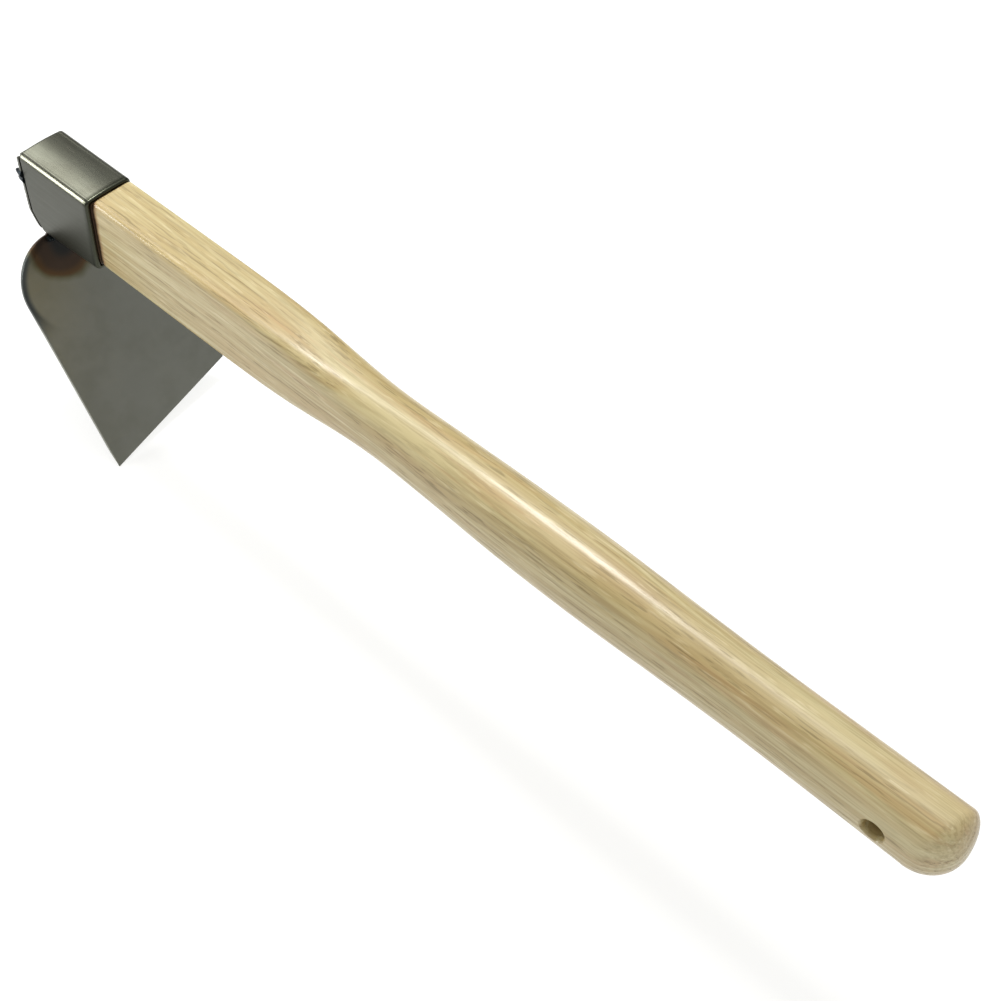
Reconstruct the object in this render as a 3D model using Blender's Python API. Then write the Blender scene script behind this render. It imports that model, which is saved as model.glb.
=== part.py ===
"""A short-handled hoe adze: a welded steel head on a one-handed wooden handle.

The head is a folded sleeve, a leaning blade whose tongue closes the front of the sleeve, and the weld beads that
hold them together. The handle has a tenon that fills the sleeve, a wedge in the tenon's kerf, an oval grip with a
swell, a rounded butt and a hanging hole.

Frame: +X from the head to the butt, +Z up, origin in the middle of the sleeve's top face.
"""

import math

import bmesh
import bpy
from mathutils import Vector

GAP = 0.0003                    # clearance between solids that touch on the real tool

# Sleeve: a folded ring of sheet
SLEEVE_WIDTH = 0.0255
SLEEVE_HEIGHT = 0.0410          # at the mouth
SLEEVE_SWELL = 0.0634           # how much higher it is at the front, as a share
SLEEVE_TOP_LENGTH = 0.0473
SLEEVE_SHEET = 0.0020
SLEEVE_CORNER = 0.0030          # outer radius of the four folds
SEAM_SLIT = 0.0008              # where the folded ends meet, under the sleeve

# Blade: tongue, bend and ground plate, in one piece
BLADE_SHEET = 0.0020
BLADE_LEAN = math.radians(34.4)     # from the vertical, towards the butt
FRONT_LEAN = math.radians(2.8)      # of the tongue and the sleeve's front, towards the butt
BEND_Z = -0.0330
BEND_REACH = 0.0040             # of the bend's curve along the plate, to each side
BLADE_NEAR = 0.0366             # half widths on the two sides of the sleeve's middle plane
BLADE_FAR = 0.0395
BLADE_NEAR_DEPTH = 0.1255       # from the bend to each lower corner
BLADE_FAR_DEPTH = 0.1093
SHOULDER_RADIUS = 0.0248
BEVEL_LENGTH = 0.0080
EDGE_THICKNESS = 0.0003
TONGUE_WIDTH = 0.0208
TONGUE_TOP_Z = -0.0030
TONGUE_STANDOFF = 0.0004
STEP = 0.0001                   # height of the step from the tongue out to the shoulders
SHOULDER_STEPS = 8
BLADE_COLUMNS = 8

# Handle
BUTT_DISTANCE = 0.4547          # from the sleeve's mouth to the end of the butt
TENON_LENGTH = 0.0385
TENON_SQUARENESS = 14.0
SHOULDER_CHAMFER = 0.0012
DOME_LENGTH = 0.0120            # mean length of the butt's rounding
DOME_SKEW = 0.0050              # longer at the lower left, shorter at the upper right
DOME_SKEW_ANGLE = math.radians(32)
HOLE_DISTANCE = 0.4243
HOLE_DROP = 0.0025              # below the handle's axis
HOLE_RADIUS = 0.0046
HOLE_MOUTH_RADIUS = 0.0068
HOLE_FLARE = 0.0026
HOLE_SIDES = 32
CUTTER_PAST = 0.0040            # how far the hole's cutter stands out of the handle
# Distance from the mouth, width, height, squareness (2 is an ellipse), sideways set of the middle
HANDLE_STATIONS = (
    (0.000, 0.0225, 0.0383, 12.0, 0.0012),
    (0.045, 0.0228, 0.0382, 12.0, 0.0013),
    (0.090, 0.0232, 0.0379, 10.5, 0.0014),
    (0.120, 0.0239, 0.0364, 6.5, 0.0014),
    (0.150, 0.0241, 0.0322, 3.6, 0.0014),
    (0.172, 0.0245, 0.0318, 2.6, 0.0014),
    (0.205, 0.0261, 0.0339, 2.4, 0.0012),
    (0.245, 0.0280, 0.0364, 2.4, 0.0006),
    (0.284, 0.0284, 0.0370, 2.4, 0.0004),
    (0.325, 0.0271, 0.0352, 2.4, 0.0003),
    (0.362, 0.0262, 0.0340, 2.4, 0.0002),
    (0.400, 0.0263, 0.0342, 2.4, -0.0001),
    (0.456, 0.0269, 0.0351, 2.4, -0.0007),
)
RING_POINTS = 40
HANDLE_RINGS = 38
DOME_RINGS = 7

# Wedge and its kerf across the tenon
WEDGE_LENGTH = 0.0240
WEDGE_HEAD = 0.0032
WEDGE_TIP = 0.0009
WEDGE_WIDTH = 0.0180
WEDGE_HEIGHT = 0.0125           # above the sleeve's axis
WEDGE_PROUD = 0.0012            # left standing out of the tenon

# Weld beads
BEAD_SIZE = 0.0023
BEAD_LUMP = 0.0056              # blob near the top end of each side bead
BEAD_END_SHARE = 0.45           # size of a side bead's ends against its middle
BEAD_EDGE_SHARES = (0.75, 0.85) # thickness near its inner and outer edge against the middle
BEAD_STEPS = (4, 13)            # below and above the plate's bend
LUMP_DROP = 0.0108              # from the bead's top end to the blob's middle
LUMP_REACH = 0.0042             # half the blob's length
LUMP_OVERHANG = 0.0013          # past the sleeve's side
UNDER_BEAD_LEG = 0.0036
UNDER_BEAD_SET = 0.0009         # of the fillet's root from the corner
UNDER_BEAD_BELLY = (0.12, -0.05)    # how far its face is crowned along X and Z, in legs
UNDER_BEAD_OVERHANG = 0.0006    # past each side of the sleeve
UNDER_BEAD_END_SHARE = 0.55
UNDER_BEAD_STEPS = 8
SEAM_BEAD_WIDTH = 0.0030
SEAM_BEAD_HEIGHT = 0.0009
SEAM_BEAD_START = 0.0022        # behind the fillet
SEAM_BEAD_END = 0.0015          # short of the mouth
SEAM_BEAD_END_SHARE = 0.5
SEAM_BEAD_STEPS = 6

MOUTH_X = SLEEVE_TOP_LENGTH / 2
AXIS_Z = -SLEEVE_HEIGHT / 2
FRONT_TOP_X = MOUTH_X - SLEEVE_TOP_LENGTH
FRONT_BOTTOM_Z = -SLEEVE_HEIGHT * (1 + SLEEVE_SWELL)
SHOULDER_DROP = (BEND_Z - FRONT_BOTTOM_Z + GAP) / math.cos(BLADE_LEAN)  # just under the sleeve

STEEL = ("steel", (0.42, 0.43, 0.39, 1.0), 0.32, 1.0)
WELD = ("weld", (0.10, 0.10, 0.11, 1.0), 0.55, 1.0)
OAK = ("oak", (0.64, 0.50, 0.29, 1.0), 0.38, 0.0)
WEDGE_WOOD = ("wedge_wood", (0.42, 0.30, 0.17, 1.0), 0.60, 0.0)


def clear_scene():
    """Removes every object of the open scene."""
    for old in list(bpy.data.objects):
        bpy.data.objects.remove(old)


def material(finish):
    """The finish's Principled material, made once."""
    name, color, roughness, metallic = finish
    made = bpy.data.materials.get(name) or bpy.data.materials.new(name)
    made.use_nodes = True
    made.diffuse_color = color
    shader = made.node_tree.nodes["Principled BSDF"]
    shader.inputs["Base Color"].default_value = color
    shader.inputs["Roughness"].default_value = roughness
    shader.inputs["Metallic"].default_value = metallic
    return made


def add_object(name, build, finish=None, smooth=None):
    """An object whose mesh build(bm) fills. Without a finish it is a cutter; smooth is the sharp edges' angle."""
    bm = bmesh.new()
    build(bm)
    bmesh.ops.recalc_face_normals(bm, faces=bm.faces)
    mesh = bpy.data.meshes.new(name)
    bm.to_mesh(mesh)
    bm.free()
    made = bpy.data.objects.new(name, mesh)
    bpy.context.scene.collection.objects.link(made)
    if finish is None:
        made.hide_render = True
        made.display_type = "WIRE"
    else:
        mesh.materials.append(material(finish))
    if smooth is not None:
        mesh.shade_smooth()
        mesh.set_sharp_from_angle(angle=smooth)
    return made


def cut(target, cutter):
    """Takes the cutter's shape out of the target."""
    modifier = target.modifiers.new("cut_" + cutter.name, "BOOLEAN")
    modifier.operation = "DIFFERENCE"
    modifier.solver = "EXACT"
    modifier.object = cutter


def loft(bm, rings, close_ends=True):
    """Joins rings of equal length with quads, and closes the first and the last ring with a face."""
    rows = [[bm.verts.new(point) for point in ring] for ring in rings]
    for row, following in zip(rows, rows[1:]):
        count = len(row)
        for i in range(count):
            j = (i + 1) % count
            bm.faces.new((row[i], row[j], following[j], following[i]))
    if close_ends:
        bm.faces.new(rows[0])
        bm.faces.new(rows[-1])
    return rows


def arc(center, radius, start, end, steps):
    """Points of an arc in a plane, ends included."""
    angles = [start + (end - start) * i / steps for i in range(steps + 1)]
    return [(center[0] + radius * math.cos(a), center[1] + radius * math.sin(a)) for a in angles]


def front_x(z):
    """Where the sleeve's front lies at a height: nearly upright above the blade's bend, slanted like it below."""
    below = max(BEND_Z - z, 0)
    return FRONT_TOP_X - (z + below) * math.tan(FRONT_LEAN) + below * math.tan(BLADE_LEAN)


def under_z(x):
    """The height of the sleeve's sloping underside."""
    front = front_x(FRONT_BOTTOM_Z)
    return FRONT_BOTTOM_Z + (-SLEEVE_HEIGHT - FRONT_BOTTOM_Z) * (x - front) / (MOUTH_X - front)


# ---------------------------------------------------------------- sleeve

def fold_line(inset):
    """(y, z) points round the sleeve from one side of the seam to the other, this far inside its outer face."""
    half_width = SLEEVE_WIDTH / 2 - inset
    top = -inset
    bottom = -SLEEVE_HEIGHT + inset
    radius = SLEEVE_CORNER - inset
    quarter = math.pi / 2
    bend = BEND_Z / (1 + SLEEVE_SWELL)
    points = [(SEAM_SLIT / 2, bottom)]
    points += arc((half_width - radius, bottom + radius), radius, -quarter, 0, 4)
    points.append((half_width, bend))
    points += arc((half_width - radius, top - radius), radius, 0, quarter, 4)
    points += arc((radius - half_width, top - radius), radius, quarter, 2 * quarter, 4)
    points.append((-half_width, bend))
    points += arc((radius - half_width, bottom + radius), radius, 2 * quarter, 3 * quarter, 4)
    points.append((-SEAM_SLIT / 2, bottom))
    return points


def build_sleeve(bm):
    """The folded ring: an outer and an inner sheet face between a square mouth and a higher, bent front."""
    outer = fold_line(0)
    inner = fold_line(SLEEVE_SHEET)
    columns = []
    for (outer_y, outer_z), (inner_y, inner_z) in zip(outer, inner):
        outer_front = outer_z * (1 + SLEEVE_SWELL)
        inner_front = inner_z * (1 + SLEEVE_SWELL)
        columns.append((
            (front_x(outer_front), outer_y, outer_front),
            (MOUTH_X, outer_y, outer_z),
            (MOUTH_X, inner_y, inner_z),
            (front_x(inner_front), inner_y, inner_front),
        ))
    loft(bm, columns)


# ---------------------------------------------------------------- blade

def blade_path(depth):
    """(point, back normal) on the blade's back face at a depth below the bend, or up the tongue if negative."""
    bend = Vector((front_x(BEND_Z) - TONGUE_STANDOFF, 0, BEND_Z))
    share = min(max((depth + BEND_REACH) / (2 * BEND_REACH), 0), 1)
    angle = FRONT_LEAN + (BLADE_LEAN - FRONT_LEAN) * share
    normal = Vector((math.cos(angle), 0, math.sin(angle)))
    if depth <= -BEND_REACH:
        along = Vector((-math.sin(FRONT_LEAN), 0, math.cos(FRONT_LEAN)))
        return bend - along * depth, normal
    if depth >= BEND_REACH:
        along = Vector((math.sin(BLADE_LEAN), 0, -math.cos(BLADE_LEAN)))
        return bend + along * depth, normal
    low = blade_path(BEND_REACH)[0]
    high = blade_path(-BEND_REACH)[0]
    blend = (1 - share) ** 2 * high + 2 * share * (1 - share) * bend + share ** 2 * low
    return blend, normal


def blade_rows():
    """Rows from the tongue's top to the edge, each ((left, depth), (right, depth), thickness)."""
    rows = []
    half = TONGUE_WIDTH / 2
    tongue_top = (TONGUE_TOP_Z - BEND_Z) / math.cos(FRONT_LEAN)
    bend = [BEND_REACH * share for share in (-1, -0.5, 0, 0.5, 1)]
    for depth in (-tongue_top, -tongue_top / 2, *bend, SHOULDER_DROP - STEP):
        rows.append(((-half, depth), (half, depth), BLADE_SHEET))
    for i in range(SHOULDER_STEPS + 1):
        angle = math.pi / 2 * i / SHOULDER_STEPS
        out = SHOULDER_RADIUS * (math.sin(angle) - 1)
        depth = SHOULDER_DROP + SHOULDER_RADIUS * (1 - math.cos(angle))
        rows.append(((-BLADE_NEAR - out, depth), (BLADE_FAR + out, depth), BLADE_SHEET))
    start = SHOULDER_DROP + SHOULDER_RADIUS
    ground = 1 - BEVEL_LENGTH / (BLADE_NEAR_DEPTH - start)
    for share in (ground / 2, ground, 1):
        near = start + (BLADE_NEAR_DEPTH - start) * share
        far = start + (BLADE_FAR_DEPTH - start) * share
        rows.append(((-BLADE_NEAR, near), (BLADE_FAR, far), EDGE_THICKNESS if share == 1 else BLADE_SHEET))
    return rows


def build_blade(bm):
    """The bent plate: a back and a front sheet of points over the rows, joined round the rim."""
    rings = []
    for (left, left_depth), (right, right_depth), thickness in blade_rows():
        back = []
        front = []
        for i in range(BLADE_COLUMNS + 1):
            share = i / BLADE_COLUMNS
            side = left + (right - left) * share
            point, normal = blade_path(left_depth + (right_depth - left_depth) * share)
            back.append(point + Vector((0, side, 0)))
            front.append(back[-1] - normal * thickness)
        rings.append(back + front[::-1])
    loft(bm, rings)


# ---------------------------------------------------------------- handle

def handle_station(distance):
    """(width, height, squareness, set) at a distance from the mouth, by cubic curves through the stations."""
    table = HANDLE_STATIONS
    distance = min(max(distance, table[0][0]), table[-1][0])
    k = max(i for i in range(len(table) - 1) if table[i][0] <= distance)
    before = table[max(k - 1, 0)]
    here = table[k]
    there = table[k + 1]
    after = table[min(k + 2, len(table) - 1)]
    step = there[0] - here[0]
    t = (distance - here[0]) / step
    values = []
    for column in range(1, len(here)):
        slope_here = (there[column] - before[column]) / (there[0] - before[0]) * step
        slope_there = (after[column] - here[column]) / (after[0] - here[0]) * step
        values.append(
            (2 * t ** 3 - 3 * t ** 2 + 1) * here[column]
            + (t ** 3 - 2 * t ** 2 + t) * slope_here
            + (3 * t ** 2 - 2 * t ** 3) * there[column]
            + (t ** 3 - t ** 2) * slope_there
        )
    return values


def oval(x, width, height, squareness, middle_y=0.0):
    """One ring of a superellipse across the handle's axis."""
    points = []
    power = 2 / squareness
    for i in range(RING_POINTS):
        angle = 2 * math.pi * (i + 0.5) / RING_POINTS
        across = math.copysign(abs(math.cos(angle)) ** power, math.cos(angle))
        up = math.copysign(abs(math.sin(angle)) ** power, math.sin(angle))
        points.append((x, middle_y + width / 2 * across, AXIS_Z + height / 2 * up))
    return points


def dome_ring(share):
    """A ring of the butt's rounding: a half ellipsoid whose length turns with the angle round the axis."""
    end = MOUTH_X + BUTT_DISTANCE
    width, height, squareness, middle = handle_station(BUTT_DISTANCE - DOME_LENGTH)
    lean = math.pi / 2 * share
    ring = oval(end, width * math.cos(lean), height * math.cos(lean), squareness, middle)
    points = []
    for i, (x, y, z) in enumerate(ring):
        angle = 2 * math.pi * (i + 0.5) / RING_POINTS
        length = DOME_LENGTH - DOME_SKEW * math.cos(angle - DOME_SKEW_ANGLE)
        points.append((x - length * (1 - math.sin(lean)), y, z))
    return points


def build_handle(bm):
    """Tenon, shoulder, block, neck, grip and rounded butt as one loft."""
    tenon_width = SLEEVE_WIDTH - 2 * SLEEVE_SHEET - 2 * GAP
    tenon_height = SLEEVE_HEIGHT - 2 * SLEEVE_SHEET - 2 * GAP
    tenon = (tenon_width, tenon_height, TENON_SQUARENESS)
    shoulder_x = MOUTH_X + GAP
    rings = [oval(MOUTH_X - TENON_LENGTH, *tenon), oval(shoulder_x, *tenon)]
    grip_end = BUTT_DISTANCE - DOME_LENGTH - DOME_SKEW
    for i in range(HANDLE_RINGS + 1):
        distance = SHOULDER_CHAMFER + (grip_end - SHOULDER_CHAMFER) * i / HANDLE_RINGS
        width, height, squareness, middle = handle_station(distance)
        rings.append(oval(shoulder_x + distance, width, height, squareness, middle))
    rings += [dome_ring(i / DOME_RINGS) for i in range(DOME_RINGS)]
    rows = loft(bm, rings, close_ends=False)
    bm.faces.new(rows[0])
    middle = handle_station(BUTT_DISTANCE)[3]
    apex = bm.verts.new((MOUTH_X + BUTT_DISTANCE, middle, AXIS_Z))
    last = rows[-1]
    for i, corner in enumerate(last):
        bm.faces.new((corner, last[(i + 1) % len(last)], apex))


def build_hole_cutter(bm):
    """A turned plug across the handle: straight in the middle, flared where it leaves each side."""
    middle = handle_station(HOLE_DISTANCE)[3]
    side = handle_station(HOLE_DISTANCE)[0] / 2
    slope = (HOLE_MOUTH_RADIUS - HOLE_RADIUS) / HOLE_FLARE
    profile = (
        (-side - CUTTER_PAST, HOLE_MOUTH_RADIUS + slope * CUTTER_PAST),
        (-side + HOLE_FLARE, HOLE_RADIUS),
        (side - HOLE_FLARE, HOLE_RADIUS),
        (side + CUTTER_PAST, HOLE_MOUTH_RADIUS + slope * CUTTER_PAST),
    )
    last = 2 * math.pi * (1 - 1 / HOLE_SIDES)
    rings = []
    for across, radius in profile:
        circle = arc((MOUTH_X + HOLE_DISTANCE, AXIS_Z - HOLE_DROP), radius, 0, last, HOLE_SIDES - 1)
        rings.append([(x, middle + across, z) for x, z in circle])
    loft(bm, rings)


def wedge_rings(clearance, half_width, head_past):
    """Head and tip sections of the wedge, or of its kerf when there is a clearance."""
    head_x = MOUTH_X - TENON_LENGTH - WEDGE_PROUD - head_past
    tip_x = MOUTH_X - TENON_LENGTH - WEDGE_PROUD + WEDGE_LENGTH + clearance
    middle = AXIS_Z + WEDGE_HEIGHT
    rings = []
    for x, thickness in ((head_x, WEDGE_HEAD), (tip_x, WEDGE_TIP)):
        rise = thickness / 2 + clearance
        rings.append([
            (x, -half_width, middle - rise),
            (x, half_width, middle - rise),
            (x, half_width, middle + rise),
            (x, -half_width, middle + rise),
        ])
    return rings


def build_wedge(bm):
    """The wedge, flush with the tenon's sides but for a small setback."""
    loft(bm, wedge_rings(0, WEDGE_WIDTH / 2, 0))


def build_kerf_cutter(bm):
    """The saw cut that takes the wedge, open at the tenon's end and at both sides."""
    loft(bm, wedge_rings(GAP, SLEEVE_WIDTH, WEDGE_PROUD))


# ---------------------------------------------------------------- weld beads

def build_side_bead(side):
    """A bead on the ledge beside the tongue, with a blob where it was started. side is -1 or 1."""
    def build(bm):
        inner = TONGUE_WIDTH / 2 + GAP
        low = FRONT_BOTTOM_Z + SLEEVE_CORNER
        high = TONGUE_TOP_Z
        near_inner, near_outer = BEAD_EDGE_SHARES
        below, above = BEAD_STEPS
        heights = [low + (BEND_Z - low) * i / below for i in range(below)]
        heights += [BEND_Z + (high - BEND_Z) * i / above for i in range(above + 1)]
        rings = []
        for z in heights:
            share = min(max((z - high + LUMP_DROP + LUMP_REACH) / (2 * LUMP_REACH), 0), 1)
            swell = math.sin(math.pi * share) ** 2
            size = BEAD_SIZE * (BEAD_END_SHARE if z in (low, high) else 1) + (BEAD_LUMP - BEAD_SIZE) * swell
            outer = SLEEVE_WIDTH / 2 + LUMP_OVERHANG * swell
            width = outer - inner
            face = front_x(z) - GAP
            section = (
                (face, inner),
                (face - near_inner * size, inner + 0.1 * width),
                (face - size, inner + 0.5 * width),
                (face - near_outer * size, inner + 0.9 * width),
                (face, outer),
            )
            rings.append([(x, side * y, z) for x, y in section])
        loft(bm, rings)
    return build


def build_under_bead(bm):
    """A fillet in the corner between the sleeve's underside and the blade's back."""
    corner = blade_path(SHOULDER_DROP)[0]
    down = Vector((math.sin(BLADE_LEAN), 0, -math.cos(BLADE_LEAN)))
    start = Vector((corner.x + GAP + UNDER_BEAD_SET, 0, FRONT_BOTTOM_Z - GAP))
    half = SLEEVE_WIDTH / 2 + UNDER_BEAD_OVERHANG
    crown_x, crown_z = UNDER_BEAD_BELLY
    rings = []
    for i in range(UNDER_BEAD_STEPS + 1):
        y = -half + 2 * half * i / UNDER_BEAD_STEPS
        leg = UNDER_BEAD_LEG * (UNDER_BEAD_END_SHARE if i in (0, UNDER_BEAD_STEPS) else 1)
        along_sleeve = start + Vector((leg, 0, 0))
        along_blade = start + down * leg
        belly = (along_sleeve + along_blade) / 2 + Vector((crown_x, 0, crown_z)) * leg
        rings.append([(p.x, y, p.z) for p in (start, along_sleeve, belly, along_blade)])
    loft(bm, rings)


def build_seam_bead(bm):
    """The flat bead that closes the sleeve's seam from below."""
    start = front_x(FRONT_BOTTOM_Z) + UNDER_BEAD_LEG + SEAM_BEAD_START
    end = MOUTH_X - SEAM_BEAD_END
    rings = []
    for i in range(SEAM_BEAD_STEPS + 1):
        x = start + (end - start) * i / SEAM_BEAD_STEPS
        top = under_z(x) - GAP
        scale = SEAM_BEAD_END_SHARE if i in (0, SEAM_BEAD_STEPS) else 1
        half = SEAM_BEAD_WIDTH / 2 * scale
        depth = SEAM_BEAD_HEIGHT * scale
        section = arc((0, 0), 1, math.pi, 2 * math.pi, 6)
        rings.append([(x, y * half, top + z * depth) for y, z in section])
    loft(bm, rings)


def main():
    """Builds every sub-part in its place."""
    clear_scene()
    round_edge = math.radians(35)
    add_object("socket_sleeve", build_sleeve, STEEL, round_edge)
    add_object("blade", build_blade, STEEL, round_edge)
    handle = add_object("handle", build_handle, OAK, round_edge)
    cut(handle, add_object("hanging_hole_cutter", build_hole_cutter))
    cut(handle, add_object("kerf_cutter", build_kerf_cutter))
    add_object("wedge", build_wedge, WEDGE_WOOD)
    add_object("weld_left", build_side_bead(-1), WELD, round_edge)
    add_object("weld_right", build_side_bead(1), WELD, round_edge)
    add_object("weld_under", build_under_bead, WELD, round_edge)
    add_object("seam_weld", build_seam_bead, WELD, round_edge)


main()
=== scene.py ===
import logging
import math
from dataclasses import dataclass, field
from enum import Enum

import bpy
import numpy as np
from mathutils import Matrix, Vector


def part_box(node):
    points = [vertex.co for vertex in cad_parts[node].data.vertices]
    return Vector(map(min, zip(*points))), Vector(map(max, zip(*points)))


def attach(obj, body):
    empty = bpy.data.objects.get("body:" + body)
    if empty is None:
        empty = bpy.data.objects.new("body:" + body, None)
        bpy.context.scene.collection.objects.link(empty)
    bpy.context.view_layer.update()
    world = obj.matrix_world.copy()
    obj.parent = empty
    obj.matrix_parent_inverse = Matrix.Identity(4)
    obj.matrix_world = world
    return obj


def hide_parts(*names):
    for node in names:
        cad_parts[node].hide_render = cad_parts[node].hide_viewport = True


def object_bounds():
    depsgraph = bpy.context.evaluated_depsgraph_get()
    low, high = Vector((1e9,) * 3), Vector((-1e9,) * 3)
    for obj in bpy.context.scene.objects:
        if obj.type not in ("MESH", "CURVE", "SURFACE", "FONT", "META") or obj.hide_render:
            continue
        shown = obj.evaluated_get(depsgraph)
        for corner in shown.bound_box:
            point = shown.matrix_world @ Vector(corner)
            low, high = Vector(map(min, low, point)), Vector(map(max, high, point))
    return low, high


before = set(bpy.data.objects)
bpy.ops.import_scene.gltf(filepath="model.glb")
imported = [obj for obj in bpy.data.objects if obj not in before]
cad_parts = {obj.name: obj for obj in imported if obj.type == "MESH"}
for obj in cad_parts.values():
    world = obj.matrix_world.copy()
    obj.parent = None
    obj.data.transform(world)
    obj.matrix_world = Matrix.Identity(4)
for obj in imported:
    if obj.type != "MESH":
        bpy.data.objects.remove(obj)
CAD_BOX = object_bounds()
BODY = "root"

log = logging.getLogger("hoe_adze")
Array = np.ndarray
Colour = tuple[float, float, float]


# ------------------------------------------------------------------ shader writing


def shade(red: int, green: int, blue: int) -> Colour:
    """A display colour, 0 to 255 a channel, as the linear colour that a shader takes.

    Args:
        red: Red channel.
        green: Green channel.
        blue: Blue channel.

    Returns:
        The three linear channels.
    """
    shares = np.array((red, green, blue)) / 255
    linear = np.where(shares <= 0.04045, shares / 12.92, ((shares + 0.055) / 1.055) ** 2.4)
    return tuple(float(channel) for channel in linear)


class Wire:
    """One output socket of a shader node. Python's operators on it add Math nodes."""

    def __init__(self, graph: "Graph", socket: bpy.types.NodeSocket) -> None:
        """Keeps the graph, which adds the nodes, and the socket."""
        self.graph = graph
        self.socket = socket

    def _math(self, operation: str, first: "Wire | float", second: "Wire | float") -> "Wire":
        """A Math node of two values.

        Args:
            operation: Name of the Math node's operation.
            first: Value or number of its first socket.
            second: Value or number of its second socket.

        Returns:
            The result.
        """
        return self.graph.node("ShaderNodeMath", {"operation": operation}, {0: first, 1: second})

    def __add__(self, other: "Wire | float") -> "Wire":
        """self + other."""
        return self._math("ADD", self, other)

    def __radd__(self, other: float) -> "Wire":
        """other + self."""
        return self._math("ADD", other, self)

    def __sub__(self, other: "Wire | float") -> "Wire":
        """self - other."""
        return self._math("SUBTRACT", self, other)

    def __rsub__(self, other: float) -> "Wire":
        """other - self."""
        return self._math("SUBTRACT", other, self)

    def __mul__(self, other: "Wire | float") -> "Wire":
        """self * other."""
        return self._math("MULTIPLY", self, other)

    def __truediv__(self, other: "Wire | float") -> "Wire":
        """self / other."""
        return self._math("DIVIDE", self, other)

    def __pow__(self, other: float) -> "Wire":
        """self ** other."""
        return self._math("POWER", self, other)

    def rise(self, low: float, high: float) -> "Wire":
        """A smooth step: 0 where the value is at low, 1 where it is at high. low may be the larger.

        Args:
            low: Value that gives 0.
            high: Value that gives 1.

        Returns:
            The step, from 0 to 1.
        """
        ends = {"Value": self, "From Min": min(low, high), "From Max": max(low, high)}
        step = self.graph.node("ShaderNodeMapRange", {"interpolation_type": "SMOOTHSTEP"}, ends)
        return step if low < high else 1 - step


class Graph:
    """The node tree of a material or a world, written from its main shader."""

    COLOUR_SOCKETS = (0, 6, 7, 2)       # factor, first, second and result of a colour Mix

    def __init__(self, owner: bpy.types.Material | bpy.types.World, shader: str, place: str) -> None:
        """Finds the owner's shader and adds its coordinates.

        Args:
            owner: The new material or world.
            shader: Name of its main shader.
            place: Name of the texture coordinates that its patterns read.
        """
        owner.use_nodes = True
        self.owner = owner
        self.tree = owner.node_tree
        self.shader = self.tree.nodes[shader]
        self.place = self.node("ShaderNodeTexCoord", {}, {}, place)

    @classmethod
    def of_material(cls, name: str) -> "Graph":
        """A new material's graph, in Object coordinates."""
        return cls(bpy.data.materials.new(name), "Principled BSDF", "Object")

    def node(
        self,
        kind: str,
        settings: dict[str, object],
        inputs: dict[int | str, object],
        output: int | str = 0,
    ) -> Wire:
        """Adds a node.

        Args:
            kind: Type name of the node.
            settings: Attributes of the node, set before its sockets.
            inputs: Wire, number or vector for each socket, by name or index.
            output: The socket to hand back, by name or index.

        Returns:
            The chosen output.
        """
        made = self.tree.nodes.new(kind)
        for attribute, value in settings.items():
            setattr(made, attribute, value)
        for socket, value in inputs.items():
            if isinstance(value, Wire):
                self.tree.links.new(value.socket, made.inputs[socket])
            else:
                made.inputs[socket].default_value = value
        return Wire(self, made.outputs[output])

    def set(self, **values: object) -> None:
        """Sets or links sockets of the shader, with _ for the blanks in their names."""
        for name, value in values.items():
            socket = self.shader.inputs[name.replace("_", " ")]
            if isinstance(value, Wire):
                self.tree.links.new(value.socket, socket)
            else:
                socket.default_value = value

    def mix(
        self,
        share: Wire | float,
        first: Wire | Colour,
        second: Wire | Colour,
        blend: str = "MIX",
    ) -> Wire:
        """Mixes two colours.

        Args:
            share: How much of the second one.
            first: Colour at share 0.
            second: Colour at share 1.
            blend: Name of the blend.

        Returns:
            The mixed colour.
        """
        factor, a, b, result = self.COLOUR_SOCKETS
        filled = [c if isinstance(c, Wire) else (*c, 1.0) for c in (first, second)]
        settings = {"data_type": "RGBA", "blend_type": blend}
        return self.node("ShaderNodeMix", settings, {factor: share, a: filled[0], b: filled[1]}, result)

    def noise(
        self,
        stretch: Colour,
        detail: float = 2.0,
        roughness: float = 0.5,
        place: Wire | None = None,
    ) -> Wire:
        """Noise whose grains are long where the stretch is small.

        Args:
            stretch: Grains to the metre along X, Y and Z.
            detail: Octaves added.
            roughness: Strength of the finer octaves.
            place: Coordinates, the Object ones if left out.

        Returns:
            The noise, about 0.5 in its mean.
        """
        mapped = self.node("ShaderNodeMapping", {}, {"Vector": place or self.place, "Scale": stretch})
        inputs = {"Vector": mapped, "Scale": 1.0, "Detail": detail, "Roughness": roughness}
        return self.node("ShaderNodeTexNoise", {}, inputs, 0)

    def axes(self) -> tuple[Wire, Wire, Wire]:
        """The X, Y and Z of the graph's coordinates."""
        made = self.node("ShaderNodeSeparateXYZ", {}, {0: self.place})
        others = made.socket.node.outputs
        return made, Wire(self, others[1]), Wire(self, others[2])

    def join(self, x: Wire | float, y: Wire | float, z: Wire | float) -> Wire:
        """A vector of three values."""
        return self.node("ShaderNodeCombineXYZ", {}, {0: x, 1: y, 2: z})

    def distance(self, point: tuple[float, float, float]) -> Wire:
        """Metres from the surface to a fixed point."""
        return self.node("ShaderNodeVectorMath", {"operation": "DISTANCE"}, {0: self.place, 1: point}, "Value")

    def bump(self, height: Wire, depth: float, strength: float) -> Wire:
        """A bumped normal.

        Args:
            height: Height, from 0 to 1.
            depth: Metres between heights 0 and 1.
            strength: Strength of the effect.

        Returns:
            The normal.
        """
        inputs = {"Strength": strength, "Distance": depth, "Height": height}
        return self.node("ShaderNodeBump", {}, inputs, "Normal")


# ------------------------------------------------------------------ surfaces


class Cap(Enum):
    """How a lofted surface ends."""

    FACE = "one flat face over the ring"
    POINT = "a fan to the ring's middle"


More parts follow.
